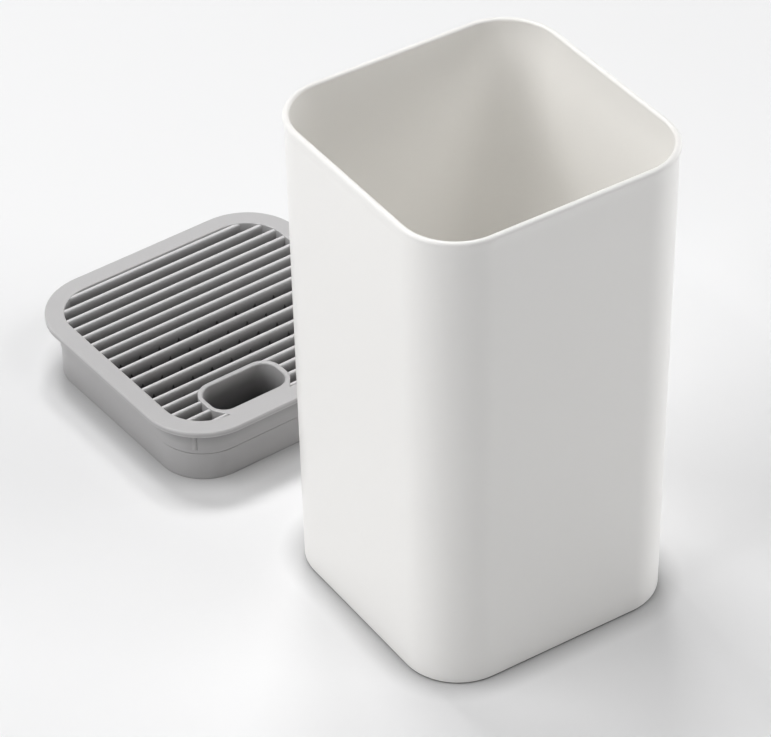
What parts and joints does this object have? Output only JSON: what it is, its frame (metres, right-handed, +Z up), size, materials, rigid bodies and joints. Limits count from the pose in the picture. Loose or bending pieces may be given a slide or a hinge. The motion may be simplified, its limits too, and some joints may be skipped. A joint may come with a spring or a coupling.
{
  "type": "knife block",
  "caption": "Tall rounded-square box for kitchen knives, with a lift-off slotted insert that has an oblong well for scissors.",
  "frame": {"origin": "on the table, under the middle of the box", "axes": "+Z up, -Y out of the front of the box; the insert lies off the box, behind it on the table"},
  "size_m": [0.1511, 0.3015, 0.225],
  "materials": {
    "box_plastic": "glossy warm white",
    "insert_plastic": "fine matte grey",
    "foot_rubber": "matte grey rubber"
  },
  "bodies": {
    "box": {"box": "box_plastic", "foot_front_left": "foot_rubber", "foot_front_right": "foot_rubber", "foot_rear_left": "foot_rubber", "foot_rear_right": "foot_rubber"},
    "insert": {"insert_frame": "insert_plastic", "scissors_well": "insert_plastic", "slat_01": "insert_plastic", "slat_02": "insert_plastic", "slat_03": "insert_plastic", "slat_04": "insert_plastic", "slat_05": "insert_plastic", "slat_06": "insert_plastic", "slat_07": "insert_plastic", "slat_08": "insert_plastic", "slat_09": "insert_plastic", "slat_10": "insert_plastic", "slat_11": "insert_plastic", "slat_12": "insert_plastic", "slat_13_left": "insert_plastic", "slat_13_right": "insert_plastic", "slat_14_left": "insert_plastic", "slat_14_right": "insert_plastic", "slat_15_left": "insert_plastic", "slat_15_right": "insert_plastic", "slat_16_left": "insert_plastic", "slat_16_right": "insert_plastic"}
  },
  "joints": [
    {"name": "insert_lift", "type": "slide", "parent": "box", "child": "insert", "axis": [0, 0, 1], "range_m": [0, 0.26]}
  ]
}
